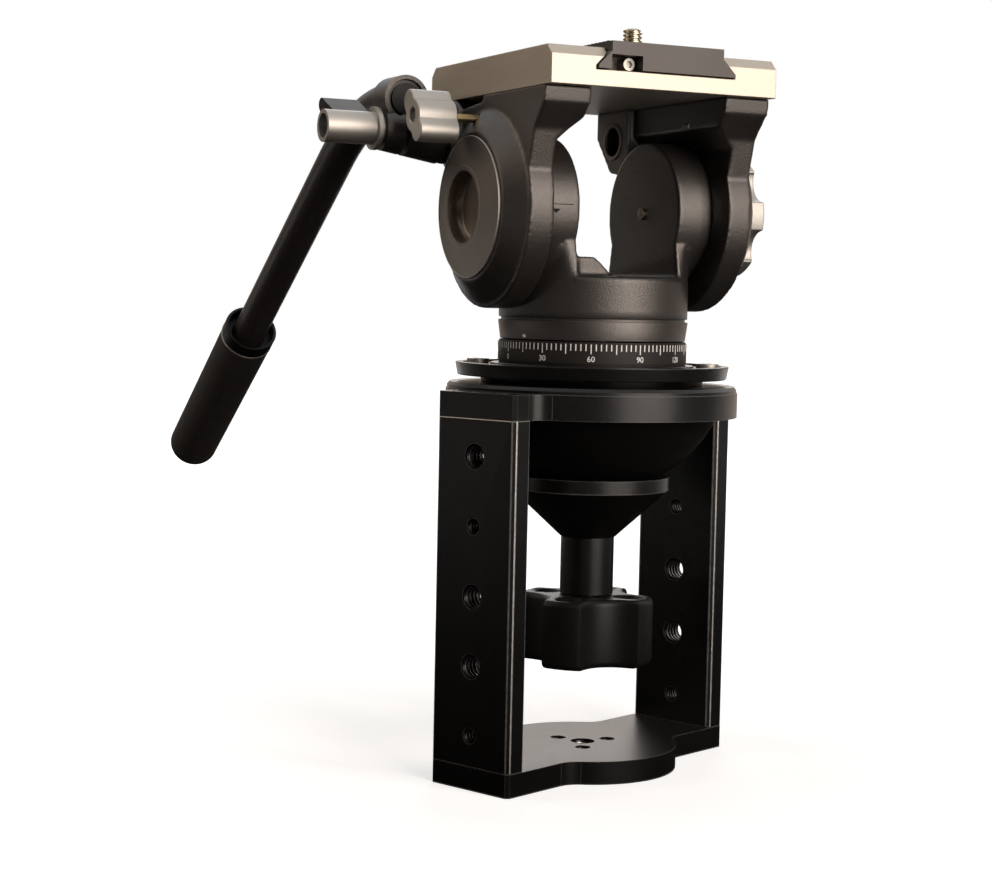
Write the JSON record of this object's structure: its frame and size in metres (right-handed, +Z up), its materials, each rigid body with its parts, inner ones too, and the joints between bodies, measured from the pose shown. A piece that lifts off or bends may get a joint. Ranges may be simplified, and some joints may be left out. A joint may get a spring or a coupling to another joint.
{
  "type": "fluid video head",
  "caption": "Fluid video head with dovetail platform, tilt yoke, scaled pan base and falling pan handle, seated by a half ball in an upright bowl bracket.",
  "frame": {"origin": "centre of the hole in the underside of the bracket's base plate", "axes": "+X along the tilt axis away from the handle, -Y towards the lens, +Z up"},
  "size_m": [0.1428, 0.293, 0.2402],
  "materials": {
    "black_anodised": "satin black anodised",
    "black_paint": "fine textured black paint",
    "champagne": "champagne anodised",
    "grey_anodised": "dark grey anodised",
    "silver": "satin silver",
    "satin_grey": "satin grey",
    "steel": "plain steel",
    "black_steel": "blackened steel",
    "brass": "turned brass",
    "black_plastic": "moulded black",
    "rubber": "black rubber"
  },
  "bodies": {
    "bracket": {"base_plate": "black_anodised", "side_plate_left": "black_anodised", "side_plate_right": "black_anodised", "bowl_ring": "black_anodised", "lug_screws": "black_steel", "base_screws": "black_steel"},
    "levelling": {"half_ball": "black_anodised", "flange_screws": "silver", "tie_rod": "steel", "clamp_cup": "black_anodised", "spacer_tube": "black_anodised", "pan_spindle": "steel", "scale_ring": "grey_anodised", "spindle_nut": "steel"},
    "tie": {"tie_knob": "black_plastic", "tie_insert": "brass"},
    "pan": {"yoke": "black_paint", "pan_bush": "brass", "pan_drag_disc": "steel", "cheek_screws": "brass", "tilt_bushes": "brass", "friction_washers": "steel"},
    "pan_lock": {"pan_lock_stem": "brass", "pan_lock_knob": "silver"},
    "tilt": {"platform": "champagne", "arm_left": "black_paint", "arm_right": "black_paint", "axle_left": "steel", "axle_right": "steel", "face_ring": "satin_grey", "hub_cap": "black_plastic", "arm_screws": "black_steel"},
    "drag": {"drag_shaft": "steel", "drag_knob": "silver"},
    "lock": {"lock_stem": "brass", "lock_knob": "silver"},
    "plate": {"quick_plate": "grey_anodised", "plate_pads": "rubber", "stop_screw": "silver"},
    "camera_stud": {"camera_screw": "steel"},
    "clamp": {"clamp_body": "black_paint"},
    "clamp_turner": {"clamp_bolt": "steel", "clamp_washer": "silver", "clamp_barrel": "silver", "clamp_wing": "black_plastic"},
    "handle": {"handle_stub": "black_paint", "handle_elbow": "black_paint", "handle_tube": "black_paint", "tube_cap": "black_plastic", "grip_collar": "black_plastic", "grip_band": "silver", "grip": "rubber"}
  },
  "joints": [
    {"name": "level_roll", "type": "hinge", "parent": "bracket", "child": "levelling", "pos_m": [0, 0, 0.1365], "axis": [0, 1, 0], "range_deg": [-2, 2]},
    {"name": "tie_turn", "type": "hinge", "parent": "levelling", "child": "tie", "pos_m": [0, 0, 0.046], "axis": [0, 0, 1], "continuous": true},
    {"name": "pan_turn", "type": "hinge", "parent": "levelling", "child": "pan", "pos_m": [0, 0, 0.15], "axis": [0, 0, 1], "continuous": true},
    {"name": "pan_lock_turn", "type": "hinge", "parent": "pan", "child": "pan_lock", "pos_m": [0, 0.036, 0.1511], "axis": [0, 1, 0], "range_deg": [-90, 180]},
    {"name": "tilt_turn", "type": "hinge", "parent": "pan", "child": "tilt", "pos_m": [0, 0, 0.1831], "axis": [1, 0, 0], "range_deg": [-40, 75]},
    {"name": "drag_turn", "type": "hinge", "parent": "tilt", "child": "drag", "pos_m": [0.05, 0, 0.1831], "axis": [1, 0, 0], "range_deg": [-150, 150]},
    {"name": "lock_turn", "type": "hinge", "parent": "tilt", "child": "lock", "pos_m": [-0.05, 0.005, 0.2115], "axis": [1, 0, 0], "range_deg": [-180, 180]},
    {"name": "plate_slide", "type": "slide", "parent": "tilt", "child": "plate", "axis": [0, 1, 0], "range_m": [-0.01, 0.02]},
    {"name": "camera_screw_turn", "type": "hinge", "parent": "plate", "child": "camera_stud", "pos_m": [0, -0.022, 0.235], "axis": [0, 0, 1], "continuous": true},
    {"name": "rosette_turn", "type": "hinge", "parent": "tilt", "child": "clamp", "pos_m": [-0.05, 0.028, 0.2086], "axis": [1, 0, 0], "range_deg": [-10, 25]},
    {"name": "clamp_knob_turn", "type": "hinge", "parent": "clamp", "child": "clamp_turner", "pos_m": [-0.075, 0.028, 0.2086], "axis": [1, 0, 0], "range_deg": [-180, 180]},
    {"name": "handle_swing", "type": "hinge", "parent": "clamp", "child": "handle", "pos_m": [-0.0583, 0.03, 0.2183], "axis": [0, 1, 0], "range_deg": [0, 60]}
  ]
}
